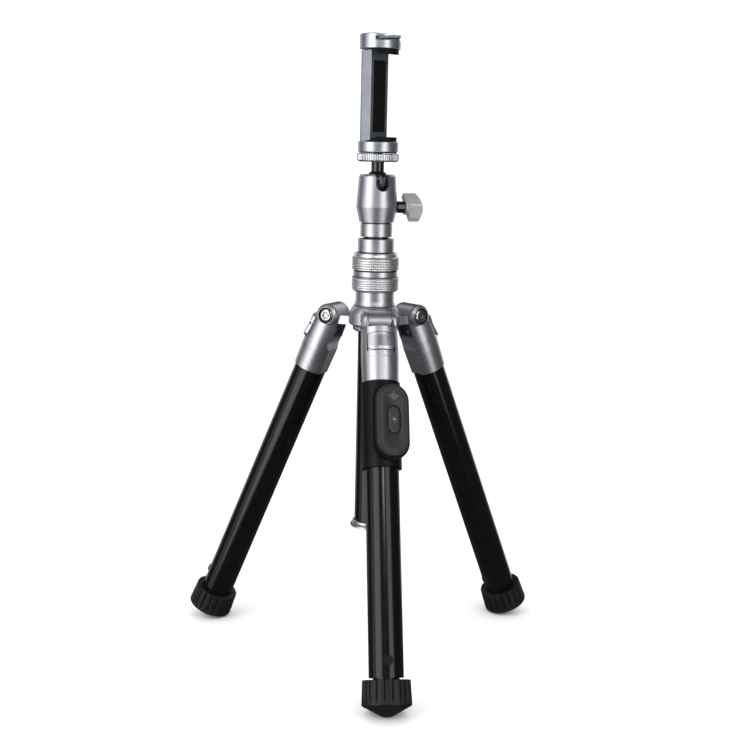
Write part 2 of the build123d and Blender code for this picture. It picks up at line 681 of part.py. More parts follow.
def lock_lip():
    """The lip that closes the slot over the tongue, with an arched lower edge to pull on."""
    start, end, radius = LOCK_LIP
    front = block((0, FAR), (-LOCK_LIP_HALF, LOCK_LIP_HALF), (-FAR, 0))
    lip = pipe(radius, LOCK_INNER_R, -end, -start) & front
    filler = block((CAVITY_WALL + 0.6, radius), (-TONGUE_HALF, TONGUE_HALF), (-SLOT_FLOOR + GAP, -start))
    lip += filler & post(radius, -SLOT_FLOOR, 0)
    return lip - Pos(0, 0, -LOCK_ARCH_TOP - LOCK_ARCH_R) * Rot(0, 90, 0) * Cylinder(LOCK_ARCH_R, FAR)


def lock_plate():
    """The curved plate under the lip, standing off further down, with round lower corners."""
    low = -LOCK_PLATE_END
    top = -LOCK_PLATE_START
    width = block((0, FAR), (-LOCK_PLATE_HALF, LOCK_PLATE_HALF), (low, 0))
    plate = lathe(
        (LOCK_INNER_R, top), (LOCK_LIP[2], top), (LOCK_PLATE_R, low + 2.2), (LOCK_PLATE_R - 0.2, low),
        (LOCK_PLATE_R - 1.4, low),
    )
    plate += pipe(LOCK_WEB_R, LOCK_INNER_R, top - 0.2, 0.5 - LOCK_ARCH_TOP)
    plate &= width
    middle = LOCK_PLATE_HALF - LOCK_CORNER_R
    round_end = low + LOCK_CORNER_R
    for side in (-1, 1):
        square = block((0, FAR), sorted((side * middle, side * FAR)), (low - 1, round_end))
        corner = Pos(0, side * middle, round_end) * Rot(0, 90, 0) * Cylinder(LOCK_CORNER_R, 2 * FAR)
        plate -= square - corner
    return plate


def angle_lock(leg):
    """The pull tab that sets the leg's spread, its stem through the casting and the stem's pin."""
    start, end = LOCK_STEM
    stem = block((CAVITY_WALL - 1, LOCK_INNER_R + 0.2), (-LOCK_STEM_HALF, LOCK_STEM_HALF), (-end, -start))
    pin = bar_along(0, LOCK_PIN_R, LOCK_PIN_X, CAVITY_WALL, -LOCK_PIN_S)
    return on_leg(lock_lip() + lock_plate() + stem + pin, leg)


def turned_out(shape, leg):
    """Turns a piece made on the leg's outer side round to the side that holds the button."""
    return Rot(0, 0, BUTTON_TURN[leg]) * shape


def leg_tube(leg):
    inner = TUBE_R - TUBE_WALL
    guide = EXTENSION_R + RUN
    tube = lathe(
        (inner, -CASTING_END), (TUBE_R, -CASTING_END), (TUBE_R, -TUBE_END), (guide, -TUBE_END),
        (guide, -LAND_START), (inner, -LAND_START + 2),
    )
    hole = bar_along(0, BUTTON_R + RUN, 5, 15, -BUTTON_S)
    return on_leg(tube - turned_out(hole, leg), leg)


def leg_button(leg):
    """The spring button that locks the extension: its nose goes into the extension's hole."""
    shoulder = TUBE_R + BUTTON_PROUD / 2
    button = bar_along(0, BUTTON_R, EXTENSION_R + GAP, shoulder, -BUTTON_S)
    button += bar_along(0, BUTTON_R - 0.7, shoulder, TUBE_R + BUTTON_PROUD, -BUTTON_S)
    return on_leg(turned_out(button, leg), leg)


def leg_extension(leg):
    inner = EXTENSION_R - EXTENSION_WALL
    guide = TUBE_R - TUBE_WALL - RUN
    start = -EXTENSION_START
    tube = lathe(
        (inner, start), (guide, start), (guide, start - 7), (EXTENSION_R, start - 8),
        (EXTENSION_R, -EXTENSION_END), (inner, -EXTENSION_END),
    )
    for s in (BUTTON_S, BUTTON_S - EXTENSION_TRAVEL):
        tube -= turned_out(bar_along(0, BUTTON_R + GAP + 0.1, 4, 12, -s), leg)
    return on_leg(tube, leg)


def leg_foot(leg):
    foot = lathe(
        (EXTENSION_R, -FOOT_START), (FOOT_R - 0.8, -FOOT_START), (FOOT_R, -FOOT_START - 0.8),
        (FOOT_WIDE_R, -FOOT_WIDE + 0.8), (FOOT_WIDE_R - 0.7, -FOOT_WIDE), (FOOT_TIP_R, -FOOT_TIP),
        (0, -FOOT_TIP),
        (0, -EXTENSION_END - 0.2), (EXTENSION_R, -EXTENSION_END - 0.2),
    )
    return on_leg(foot, leg)


# ---- Remote and holder
def remote_holder():
    """A sleeve on the front leg with a shallow cradle for the remote."""
    rim = GAP + CRADLE_RIM
    width = REMOTE_WIDTH + 2 * rim
    length = REMOTE_LENGTH + 2 * rim
    corner = REMOTE_CORNER + rim
    cradle = pill(width, length, corner, CRADLE_EDGE, CRADLE_TOP)
    back = Plane((CRADLE_EDGE, 0, 0), x_dir=(0, -1, 0), z_dir=(-1, 0, 0))
    cradle += extrude(back * RectangleRounded(width, length, corner), CRADLE_TAPER, taper=45)
    width = REMOTE_WIDTH + 2 * GAP
    length = REMOTE_LENGTH + 2 * GAP
    pocket = pill(width, length, REMOTE_CORNER + GAP, REMOTE_BACK - 0.1, FAR)
    sleeve = post(SLEEVE_R, -SLEEVE_END, -CASTING_END - 0.1)
    holder = sleeve + on_remote(cradle) - on_remote(pocket)
    return on_leg(holder - post(TUBE_R, -SLEEVE_END - 1, -CASTING_END), "front")


def remote_back_shell():
    shell = pill(REMOTE_WIDTH, REMOTE_LENGTH, REMOTE_CORNER, REMOTE_BACK, REMOTE_SPLIT)
    trim = 2 * REMOTE_WALL
    hollow = pill(REMOTE_WIDTH - trim, REMOTE_LENGTH - trim, REMOTE_CORNER - REMOTE_WALL,
                  REMOTE_BACK + 0.8, REMOTE_SPLIT + 1)
    return on_leg(on_remote(shell - hollow), "front")


def remote_front_shell():
    """The front half: a bezel step round its face and an opening for the button."""
    shell = pill(REMOTE_WIDTH, REMOTE_LENGTH, REMOTE_CORNER, REMOTE_SPLIT, REMOTE_FRONT - 0.9)
    step = 1.3
    width = REMOTE_WIDTH - 2 * step
    shell += pill(width, REMOTE_LENGTH - 2 * step, REMOTE_CORNER - step, REMOTE_FRONT - 0.9, REMOTE_FRONT)
    trim = 2 * REMOTE_WALL
    shell -= pill(REMOTE_WIDTH - trim, REMOTE_LENGTH - trim, REMOTE_CORNER - REMOTE_WALL,
                  REMOTE_SPLIT - 1, REMOTE_FRONT - 1.2)
    width, length = BUTTON_PLATE
    shell -= pill(width + 0.6, length + 0.6, width / 2, REMOTE_SPLIT, REMOTE_FRONT + 1)
    return on_leg(on_remote(shell), "front")


def remote_button():
    width, length = BUTTON_PLATE
    cap = pill(width, length, width / 2 - 0.1, REMOTE_FRONT - 2.2, REMOTE_FRONT + 0.3)
    flange = pill(width + 3.0, length + 3.0, width / 2 + 1.4, REMOTE_FRONT - 2.2, REMOTE_FRONT - 1.5)
    return on_leg(on_remote(cap + flange), "front")


def remote_board():
    inset = REMOTE_WALL + 0.4
    low = REMOTE_SPLIT + 0.1
    top = low + 0.8
    board = pill(REMOTE_WIDTH - 2 * inset, REMOTE_LENGTH - 2 * inset, REMOTE_CORNER - inset, low, top)
    switch = block((top, top + 0.4), (-2.0, 2.0), (-2.0, 2.0))
    return on_leg(on_remote(board + switch), "front")


def remote_cell():
    return on_leg(on_remote(bar_along(0, 8.0, REMOTE_BACK + 0.9, REMOTE_BACK + 2.9, 0)), "front")


# ---- All nodes, one file each
NODES = {
    "hub_body": hub_body(),
    "hub_collet": hub_collet(),
    "hub_lock_ring": hub_lock_ring(),
    "column_tube": column_tube(),
    "column_collar": column_collar(),
    "column_collet": column_collet(),
    "column_lock_ring": column_lock_ring(),
    "column_end_ring": column_end_ring(),
    "section_a_tube": section_a_tube(),
    "section_a_collar": section_collar(SECTION_A_COLLAR, SECTION_A_R, SECTION_B_R),
    "section_b_tube": section_b_tube(),
    "section_b_collar": section_collar(SECTION_B_COLLAR, SECTION_B_R, SECTION_C_R),
    "section_c_tube": section_c_tube(),
    "head_stud": head_stud(),
    "head_housing": head_housing(),
    "ball_seat": ball_seat(),
    "ball_stem": ball_stem(),
    "knob_screw": knob_screw(),
    "knob_wing": knob_wing(),
    "clamp_lock_ring": clamp_lock_ring(),
    "jaw_washer": jaw_washer(),
    "lower_jaw": lower_jaw(),
    "lower_jaw_pad": lower_jaw_pad(),
    "clamp_back_shell": clamp_back_shell(),
    "clamp_face_plate": clamp_face_plate(),
    "clamp_face_pad": clamp_face_pad(),
    "clamp_screws": Compound(clamp_screws()),
    "upper_jaw": upper_jaw(),
    "upper_jaw_pad": upper_jaw_pad(),
    "shoe_spring": shoe_spring(),
    "guide_rods": Compound(guide_rods()),
    "clamp_springs": Compound(clamp_springs()),
    "remote_holder": remote_holder(),
    "remote_back_shell": remote_back_shell(),
    "remote_front_shell": remote_front_shell(),
    "remote_button": remote_button(),
    "remote_board": remote_board(),
    "remote_cell": remote_cell(),
}
LEG_PIECES = {
    "casting": leg_casting,
    "pivot_bolt": pivot_bolt,
    "angle_lock": angle_lock,
    "tube": leg_tube,
    "button": leg_button,
    "extension": leg_extension,
    "foot": leg_foot,
}
for leg in LEG_AZIMUTHS:
    for piece, make in LEG_PIECES.items():
        NODES[f"{leg}_leg_{piece}"] = make(leg)

os.makedirs("parts", exist_ok=True)
for node, shape in NODES.items():
    export_step(shape, f"parts/{node}.step")
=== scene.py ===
import bmesh
import bpy
import json
import numpy as np
from math import atan2, cos, pi, radians, sin
from mathutils import Matrix, Vector

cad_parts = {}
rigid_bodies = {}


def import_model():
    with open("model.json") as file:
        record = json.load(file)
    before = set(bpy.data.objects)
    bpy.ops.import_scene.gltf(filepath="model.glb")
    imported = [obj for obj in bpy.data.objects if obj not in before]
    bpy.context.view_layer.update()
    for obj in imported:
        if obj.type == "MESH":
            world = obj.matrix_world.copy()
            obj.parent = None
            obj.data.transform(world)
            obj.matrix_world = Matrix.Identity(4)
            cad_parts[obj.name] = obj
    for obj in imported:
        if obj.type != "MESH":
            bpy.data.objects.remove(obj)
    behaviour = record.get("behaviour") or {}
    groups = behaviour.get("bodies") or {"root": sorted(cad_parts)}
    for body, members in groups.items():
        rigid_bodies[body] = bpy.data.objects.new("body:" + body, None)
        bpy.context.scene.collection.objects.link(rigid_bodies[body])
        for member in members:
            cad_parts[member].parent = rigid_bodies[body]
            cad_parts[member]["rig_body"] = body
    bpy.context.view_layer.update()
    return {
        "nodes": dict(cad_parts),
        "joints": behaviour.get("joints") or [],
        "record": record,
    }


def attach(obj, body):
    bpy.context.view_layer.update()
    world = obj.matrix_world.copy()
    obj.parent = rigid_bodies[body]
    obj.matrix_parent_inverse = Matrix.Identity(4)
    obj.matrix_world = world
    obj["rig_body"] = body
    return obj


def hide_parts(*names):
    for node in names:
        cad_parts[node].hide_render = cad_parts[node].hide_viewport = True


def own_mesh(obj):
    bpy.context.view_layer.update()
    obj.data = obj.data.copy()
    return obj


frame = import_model()

# A compact tripod stick. Lengths inside a piece are millimetres in that piece's own frame, and the
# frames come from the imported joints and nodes, so that every piece lies where the CAD puts it.
MM = 0.001
UP = Vector((0, 0, 1))
NODES = frame["nodes"]
JOINTS = {joint["name"]: joint for joint in frame["joints"]}
MOUNTS = {mount["name"]: mount for mount in frame["record"]["mounts"]}
LEGS = ("front", "right", "left")


# ---- Frames
def placed(origin, x, z):
    """A frame with that origin and those x and z directions, whose own unit is a millimetre."""
    z = Vector(z).normalized()
    x = Vector(x).normalized()
    turn = Matrix((x, z.cross(x), z)).transposed().to_4x4()
    return Matrix.Translation(Vector(origin)) @ turn @ Matrix.Scale(MM, 4)


def extent(node, place):
    """A node's lowest and highest corners in a frame, in that frame's millimetres."""
    inward = place.inverted()
    points = np.array([inward @ v.co for v in NODES[node].data.vertices])
    return Vector(points.min(0)), Vector(points.max(0))


def leg_frame(leg):
    """x out of the leg, y along its pivot, -z down the leg from the pivot."""
    out = -Vector(JOINTS[f"{leg}_lock_pull"]["axis"])
    down = Vector(JOINTS[f"{leg}_leg_extend"]["axis"])
    return placed(JOINTS[f"{leg}_leg_swing"]["pos_m"], out, -down)


LEG_FRAME = {leg: leg_frame(leg) for leg in LEGS}
COLUMN = placed((0, 0, JOINTS["front_leg_swing"]["pos_m"][2]), (1, 0, 0), UP)
CLAMP = placed(COLUMN.translation, MOUNTS["phone_face"]["axis"], UP)
KNOB = placed(JOINTS["knob_turn"]["pos_m"], JOINTS["knob_turn"]["axis"], UP)


def remote_frame():
    """x out of the remote's face, z along the leg, its origin on the leg's axis at the remote's middle."""
    leg = LEG_FRAME["front"]
    low, high = extent("remote_button", leg)
    face = -Vector(JOINTS["remote_pull_off"]["axis"])
    middle = leg @ Vector((0, 0, (low.z + high.z) / 2))
    return placed(middle, face, leg.to_3x3() @ UP)


REMOTE = remote_frame()


# ---- Materials
FACE_COSINE, EDGE_COSINE = 0.995, 0.86         # between the rounded and the true normal
CREASE_CLOSED, CREASE_OPEN = 0.35, 0.85        # open share of a point's surroundings
CREASE_SHADE = 0.12                            # how much of the colour a closed groove keeps under the painted shade


def noise(nodes, links, coordinates, scale, detail=3.0):
    """A smooth random value in space, finer as `scale` grows."""
    texture = nodes.new("ShaderNodeTexNoise")
    texture.inputs["Scale"].default_value = scale
    texture.inputs["Detail"].default_value = detail
    links.new(coordinates, texture.inputs["Vector"])
    return texture.outputs["Fac"]


def spread(nodes, links, value, low, high):
    """Maps a noise, mostly between 0.3 and 0.7, to a range."""
    ramp = nodes.new("ShaderNodeMapRange")
    ramp.inputs["From Min"].default_value = 0.3
    ramp.inputs["From Max"].default_value = 0.7
    ramp.inputs["To Min"].default_value = low
    ramp.inputs["To Max"].default_value = high
    links.new(value, ramp.inputs["Value"])
    return ramp.outputs["Result"]


def edge_mask(nodes, links, width):
    """1 along the solid's edges and 0 on its faces, from how a rounded normal differs from the true one."""
    rounded = nodes.new("ShaderNodeBevel")
    rounded.samples = 4
    rounded.inputs["Radius"].default_value = width * MM
    true = nodes.new("ShaderNodeNewGeometry")
    cosine = nodes.new("ShaderNodeVectorMath")
    cosine.operation = "DOT_PRODUCT"
    links.new(rounded.outputs["Normal"], cosine.inputs[0])
    links.new(true.outputs["Normal"], cosine.inputs[1])
    ramp = nodes.new("ShaderNodeMapRange")
    ramp.inputs["From Min"].default_value = FACE_COSINE
    ramp.inputs["From Max"].default_value = EDGE_COSINE
    links.new(cosine.outputs["Value"], ramp.inputs["Value"])
    return ramp.outputs["Result"]


def painted_shade_mask(nodes, links, width):
    """Painted shade: CREASE_SHADE in grooves and inner corners narrower than about `width` mm, and 1 on open
    faces.
    """
    open_share = nodes.new("ShaderNodeAmbientOcclusion")
    open_share.samples = 6
    open_share.inputs["Distance"].default_value = width * MM
    ramp = nodes.new("ShaderNodeMapRange")
    ramp.inputs["From Min"].default_value = CREASE_CLOSED
    ramp.inputs["From Max"].default_value = CREASE_OPEN
    ramp.inputs["To Min"].default_value = CREASE_SHADE
    links.new(open_share.outputs["AO"], ramp.inputs["Value"])
    return ramp.outputs["Result"]


def cloudy(nodes, links, cloud, color, tone):
    """The colour, darker and lighter by `tone` in blotches."""
    shade = nodes.new("ShaderNodeMix")
    shade.data_type = "RGBA"
    links.new(spread(nodes, links, cloud, 0.0, 1.0), shade.inputs["Factor"])
    shade.inputs["A"].default_value = (*(c * (1 - tone) for c in color), 1)
    shade.inputs["B"].default_value = (*(min(1.0, c * (1 + tone)) for c in color), 1)
    return shade.outputs["Result"]


def edge_wear_and_highlight_paint(nodes, links, place, surface, edge_wear_and_highlight, width, blotch):
    """The surface's colour with the edge colour painted along its edges, in patches: a painted highlight on
    the silver, wing and remote finishes, real wear on the black anodising.
    """
    edge_paint = nodes.new("ShaderNodeMix")
    edge_paint.data_type = "RGBA"
    amount = nodes.new("ShaderNodeMath")
    amount.operation = "MULTIPLY"
    links.new(edge_mask(nodes, links, width), amount.inputs[0])
    patches = noise(nodes, links, place, blotch * 6)
    links.new(spread(nodes, links, patches, 0.25, 0.95), amount.inputs[1])
    links.new(amount.outputs["Value"], edge_paint.inputs["Factor"])
    links.new(surface, edge_paint.inputs["A"])
    edge_paint.inputs["B"].default_value = (*edge_wear_and_highlight, 1)
    return edge_paint.outputs["Result"]


def with_painted_shade(nodes, links, surface, width):
    """The surface's colour with painted shade in its creases."""
    shaded = nodes.new("ShaderNodeVectorMath")
    shaded.operation = "SCALE"
    links.new(surface, shaded.inputs["Vector"])
    links.new(painted_shade_mask(nodes, links, width), shaded.inputs["Scale"])
    return shaded.outputs["Vector"]


def uneven_gloss(nodes, links, cloud, fine, roughness):
    """The roughness, varied a little by the blotches and more by the grain."""
    gloss = nodes.new("ShaderNodeMath")
    gloss.operation = "MULTIPLY_ADD"
    links.new(spread(nodes, links, fine, -0.5, 0.5), gloss.inputs[0])
    gloss.inputs[1].default_value = 0.22 * roughness
    links.new(spread(nodes, links, cloud, 0.92 * roughness, 1.08 * roughness), gloss.inputs[2])
    return gloss.outputs["Value"]


def turned_lines(nodes, links, place, lines):
    """A noise drawn out along x and y, so that it varies along z as lathe marks do."""
    stretched = nodes.new("ShaderNodeMapping")
    stretched.inputs["Scale"].default_value = (0.02, 0.02, 1.0)
    links.new(place, stretched.inputs["Vector"])
    return noise(nodes, links, stretched.outputs["Vector"], lines)


def finish(name, color, metallic, roughness, tone=0.08, blotch=120, grain=5000, depth=0.004,
           lines=0.0, edge_wear_and_highlight=None, edge_paint_width=0.35, specular=0.5, painted_shade_width=0.0):
    """A procedural finish: blotches vary its tone and gloss, a fine grain or turned lines raise its
    surface by `depth` mm, edges take the given edge colour, which is a painted highlight on the silver, wing
    and remote finishes and real wear on the black anodising, and grooves up to the given width take painted
    shade."""
    material = bpy.data.materials.new(name + "_finish")
    material.use_nodes = True
    nodes, links = material.node_tree.nodes, material.node_tree.links
    shader = nodes["Principled BSDF"]
    shader.inputs["Metallic"].default_value = metallic
    shader.inputs["Specular IOR Level"].default_value = specular
    place = nodes.new("ShaderNodeTexCoord").outputs["Object"]
    cloud = noise(nodes, links, place, blotch)
    surface = cloudy(nodes, links, cloud, color, tone)
    # edges painted lighter: a painted highlight on the silver, wing and remote finishes, real wear on the
    # black anodising
    if edge_wear_and_highlight is not None:
        surface = edge_wear_and_highlight_paint(nodes, links, place, surface, edge_wear_and_highlight, edge_paint_width, blotch)
    # painted shade in grooves and inner corners
    if painted_shade_width:
        surface = with_painted_shade(nodes, links, surface, painted_shade_width)
    links.new(surface, shader.inputs["Base Color"])
    fine = noise(nodes, links, place, grain)
    links.new(uneven_gloss(nodes, links, cloud, fine, roughness), shader.inputs["Roughness"])
    bump = nodes.new("ShaderNodeBump")
    bump.inputs["Strength"].default_value = 0.5
    bump.inputs["Distance"].default_value = depth * MM
    links.new(turned_lines(nodes, links, place, lines) if lines else fine, bump.inputs["Height"])
    links.new(bump.outputs["Normal"], shader.inputs["Normal"])
    return material


SILVER = (0.69, 0.685, 0.75)
COOL_SILVER = (0.66, 0.7, 0.77)
# the painted highlight colour along the edges of the silver parts
PAINTED_EDGE_HIGHLIGHT = (0.9, 0.9, 0.94)
BLACK = (0.0018, 0.0015, 0.002)
# Edge colours paint a highlight along the edges of the silvers, the wing and the remote's shell and key, and
# real wear on the black anodising; the widths given for grooves set where painted shade falls.
FINISHES = {
    "satin_silver": dict(color=SILVER, metallic=1, roughness=0.38, tone=0.03, depth=0.0015, painted_shade_width=1.2,
                         edge_wear_and_highlight=PAINTED_EDGE_HIGHLIGHT),
    "knurled_silver": dict(color=(0.95, 0.95, 0.98), metallic=1, roughness=0.34, tone=0.03, depth=0.001,
                           edge_wear_and_highlight=PAINTED_EDGE_HIGHLIGHT, edge_paint_width=0.2, painted_shade_width=0.5),
    "black_anodised": dict(color=BLACK, metallic=0, roughness=0.17, tone=0.2, depth=0.001, specular=0.5,
                           edge_wear_and_highlight=(0.03, 0.03, 0.033)),
    "black_polymer": dict(color=(0.0022, 0.0019, 0.0028), metallic=0, roughness=0.4, tone=0.15, grain=3500,
                          depth=0.006, specular=0.2),
    "black_steel": dict(color=BLACK, metallic=0, roughness=0.22, tone=0.2, depth=0.001, specular=1.0),
    "wing_grey": dict(color=(0.275, 0.27, 0.273), metallic=0.15, roughness=0.45, grain=3000, depth=0.012,
                      edge_wear_and_highlight=(0.5, 0.5, 0.5), edge_paint_width=0.25),
    "black_rubber": dict(color=(0.003, 0.003, 0.0033), metallic=0, roughness=0.6, grain=2500, depth=0.02,
                         specular=0.2),
    "foot_rubber": dict(color=(0.006, 0.006, 0.0065), metallic=0, roughness=0.45, tone=0.15, grain=2200,
                        depth=0.02, specular=0.4),
    "face_graphite": dict(color=(0.055, 0.066, 0.072), metallic=0.3, roughness=0.4, grain=4000, depth=0.004),
    "bright_steel": dict(color=(0.6, 0.6, 0.6), metallic=1, roughness=0.2, lines=9000, depth=0.002),
    "polished_bolt": dict(color=(0.5, 0.48, 0.48), metallic=1, roughness=0.14, depth=0.001, painted_shade_width=1.5),
    "button_steel": dict(color=(0.012, 0.012, 0.014), metallic=0.4, roughness=0.25, depth=0.002),
    "remote_shell": dict(color=(0.016, 0.0135, 0.0158), metallic=0, roughness=0.45, tone=0.07, grain=3800,
                         depth=0.012, edge_wear_and_highlight=(0.05, 0.046, 0.048)),
    "remote_key_grey": dict(color=(0.02, 0.0175, 0.0195), metallic=0, roughness=0.4, tone=0.07, grain=3800,
                            depth=0.008, edge_wear_and_highlight=(0.1, 0.095, 0.1)),
    "board_green": dict(color=(0.02, 0.11, 0.04), metallic=0, roughness=0.4, grain=900, depth=0.02),
    "cell_steel": dict(color=(0.55, 0.55, 0.56), metallic=1, roughness=0.24, grain=2500, depth=0.003),
}
MATERIALS = {name: finish(name, **values) for name, values in FINISHES.items()}
MARK_WHITE = finish("mark_white", color=(0.7, 0.7, 0.7), metallic=0, roughness=0.5)
MARK_GREY = finish("mark_grey", color=(0.13, 0.125, 0.13), metallic=0, roughness=0.5)
# lighter grey for the line beside the remote's groove: a painted highlight
BEZEL_HIGHLIGHT_PAINT = finish("bezel_painted_highlight", color=(0.05, 0.046, 0.05), metallic=0, roughness=0.4)
# light grey for the rods on the wing's crests: a painted highlight
CREST_HIGHLIGHT_PAINT = finish("crest_painted_highlight", color=(0.6, 0.6, 0.6), metallic=0, roughness=0.45)
CLAMP_SILVER = finish("clamp_silver", color=COOL_SILVER, metallic=1, roughness=0.36, depth=0.0015,
                      edge_wear_and_highlight=PAINTED_EDGE_HIGHLIGHT, painted_shade_width=1.5)

COOLER_NODES = ("clamp", "upper_jaw", "lower_jaw")
for name, node in NODES.items():
    for used in node.material_slots:
        cool = used.material.name == "satin_silver" and name.startswith(COOLER_NODES)
        used.material = CLAMP_SILVER if cool else MATERIALS[used.material.name]
# The shoe's spring takes the black steel finish: painted shade for the dark inside of the shoe's slot.
NODES["shoe_spring"].material_slots[0].material = MATERIALS["black_steel"]


# ---- Mesh helpers
WELD = 1e-4                                    # mm; points closer than this are one


def piece_of(name, bm, place, slot, crisp=32, material=None):
    """Finishes a mesh as an object: welded, facing out, smooth except at edges sharper than `crisp`."""
    bmesh.ops.remove_doubles(bm, verts=bm.verts, dist=WELD)
    bmesh.ops.recalc_face_normals(bm, faces=bm.faces)
    bm.transform(place)
    mesh = bpy.data.meshes.new(name)
    bm.to_mesh(mesh)
    bm.free()
    mesh.polygons.foreach_set("use_smooth", [True] * len(mesh.polygons))
    mesh.set_sharp_from_angle(angle=radians(crisp))
    mesh.materials.append(material or MATERIALS[slot])
    piece = bpy.data.objects.new(name, mesh)
    bpy.context.scene.collection.objects.link(piece)
    return piece


def skin(rows, loop=False):
    """A closed surface through rows of points; `loop` joins the last row to the first, and otherwise
    both ends are capped."""
    rows = np.array(rows, float)
    count, across = rows.shape[:2]
    bm = bmesh.new()
    grid = [[bm.verts.new(point) for point in row] for row in rows]
    for i in range(count if loop else count - 1):
        here, there = grid[i], grid[(i + 1) % count]
        for k in range(across):
            after = (k + 1) % across
            bm.faces.new((here[k], here[after], there[after], there[k]))
    if not loop:
        for end in (0, -1):
            if np.ptp(rows[end], axis=0).max() > 1e-6:
                bm.faces.new(grid[end])
    return bm


def rounded(points, radius, steps=4, closed=False):
    """A path whose corners are eased over up to `radius` on each side."""
    points = [Vector(p) for p in points]
    path = []
    for i, corner in enumerate(points):
        if not closed and i in (0, len(points) - 1):
            path.append(tuple(corner))
            continue
        before = points[i - 1] - corner
        after = points[(i + 1) % len(points)] - corner
        start = corner + before.normalized() * min(radius, before.length * 0.49)
        end = corner + after.normalized() * min(radius, after.length * 0.49)
        for k in range(steps + 1):
            t = k / steps
            path.append(tuple(start * (1 - t) ** 2 + corner * 2 * t * (1 - t) + end * t ** 2))
    return path


def between(start, end, steps):
    """Points from start up to but not including end."""
    return [tuple(Vector(start).lerp(Vector(end), k / steps)) for k in range(steps)]


def circle_row(radius, height, count, relief=None):
    """Points round z at one height, their radius changed by `relief`."""
    angles = np.arange(count) * 2 * pi / count
    radii = radius + (relief(angles, height) if relief else 0)
    return np.column_stack((radii * np.cos(angles), radii * np.sin(angles), np.full(count, height)))


def turned(profile, count=96, relief=None, loop=False):
    """A solid turned about z through (radius, height) points, its radius changed by `relief`."""
    return skin([circle_row(r, z, count, relief if r > 0 else None) for r, z in profile], loop)


def pill_row(half_width, half_length, corner, depth, count=16):
    """A rounded rectangle at one depth along x: its width along y, its length along z."""
    row = []
    for quarter in range(4):
        y = (half_width - corner) * (1 if quarter in (0, 3) else -1)
        z = (half_length - corner) * (1 if quarter < 2 else -1)
        for k in range(count):
            angle = (quarter + k / (count - 1)) * pi / 2
            row.append((depth, y + corner * cos(angle), z + corner * sin(angle)))
    return row


def wave(turns):
    """A triangle wave from 0 to 1, once per turn."""
    return 2 * np.abs(turns - np.floor(turns) - 0.5)


def ease(edge, value):
    """0 at a value of 0, rising to 1 at `edge` and staying there."""
    return np.clip(value / edge, 0, 1)


def stands_for(piece, node):
    """The piece rides on its node's body and is shown in its place."""
    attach(piece, NODES[node]["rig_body"])
    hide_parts(node)
    return piece


# ---- Knurled rings
KNURL_TURNS = 72
KNURL_DEPTH = 0.38
KNURL_STEPS = 12                               # rows of points per groove
KNURL_GROOVES = 5
THREAD_STEP = 1.8                              # from the collar's radius in to a ring's bore
COUNTERBORE = 1.6                              # depth of the wider bore at a ring's top


def knurl(low, high, rows):
    """Deep grooves round the ring between two heights, zigzagging a little, with notches across them."""
    def relief(angles, height):
        if not low < height < high:
            return 0 * angles
        around = wave(angles * KNURL_TURNS / (2 * pi))
        along = (height - low) / (high - low) * rows
        groove = 1 - ease(0.75, wave(along + 0.22 * (around - 0.5)))
        notch = 1 - ease(0.5, around)
        return -KNURL_DEPTH * np.maximum(groove, 0.3 * notch)
    return relief


def lock_ring(node, bore, lip, foot, grip, shoulder):
    """A turned ring with a knurled grip. `bore` is its inner radius and `lip` that of its wider top,
    `foot` how far its lower edge is drawn in, `grip` the grip's low and high above the ring's foot,
    and `shoulder` the profile above the grip."""
    low, high = extent(node, COLUMN)
    radius, bottom, top = high.x, low.z, high.z
    grip_low, grip_high = bottom + grip[0], bottom + grip[1]
    profile = [(bore, bottom), (radius - foot - 0.4, bottom), (radius - foot, bottom + 0.3)]
    profile += between((radius - 0.35, grip_low - 0.1), (radius, grip_low), 2)
    profile += between((radius, grip_low), (radius, grip_high), KNURL_GROOVES * KNURL_STEPS)
    profile += [(radius, grip_high)]
    profile += rounded([(radius - inset, bottom + rise) for inset, rise in shoulder], 0.5, 3)
    profile += [(lip + 0.4, top), (lip, top - 0.4), (lip, top - COUNTERBORE), (bore, top - COUNTERBORE)]
    bm = turned(profile, KNURL_TURNS * 8, knurl(grip_low, grip_high, KNURL_GROOVES), loop=True)
    stands_for(piece_of(node + "_knurled", bm, COLUMN, "knurled_silver", 50), node)


RING_BORE = extent("column_collar", COLUMN)[1].x - THREAD_STEP
lock_ring("hub_lock_ring", bore=RING_BORE, lip=11.75, foot=1.6, grip=(1.6, 10.0),
          shoulder=[(0.05, 10.05), (0.5, 10.35), (2.0, 10.6)])
lock_ring("column_lock_ring", bore=RING_BORE, lip=10.45, foot=1.5, grip=(0.9, 9.5),
          shoulder=[(0.1, 9.6), (0.9, 9.9), (1.3, 11.3), (2.0, 12.9), (3.2, 12.9)])


# ---- Ring under the clamp, with a straight knurl
CLAMP_FLUTES = 56
CLAMP_FLUTE = 0.5                              # depth
CLAMP_BORE = 3.4
STEM_CLEARANCE = 0.06                          # keeps the underside off the stem's shoulder


